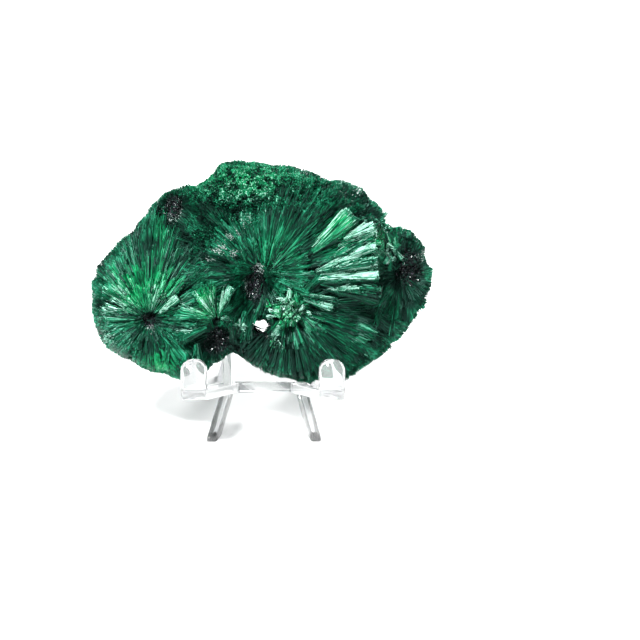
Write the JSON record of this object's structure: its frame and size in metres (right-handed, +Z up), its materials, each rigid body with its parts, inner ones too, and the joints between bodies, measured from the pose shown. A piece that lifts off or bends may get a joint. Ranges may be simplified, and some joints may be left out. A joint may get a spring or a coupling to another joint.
{
  "type": "fibrous malachite plate on an easel",
  "caption": "Thick plate of silky fibrous malachite, grown as radiating sprays with blunt blade bundles and crystal-lined hollows, leaning back on a small clear plastic easel.",
  "frame": {"origin": "on the table, under the middle of the whole, stone and easel together", "axes": "+X to the right seen from the front, +Z up, the show face looks towards -Y and leans back 17 degrees"},
  "size_m": [0.0744, 0.0478, 0.0585],
  "materials": {
    "malachite": "silky fibres, near black to bright green, with silvery highlights along the fibres",
    "clear_plastic": "clear, glossy, injection moulded"
  },
  "bodies": {
    "root": {"malachite": "malachite", "stand_left_side": "clear_plastic", "stand_right_side": "clear_plastic", "stand_seat_bar": "clear_plastic", "stand_top_bar": "clear_plastic"}
  },
  "joints": []
}
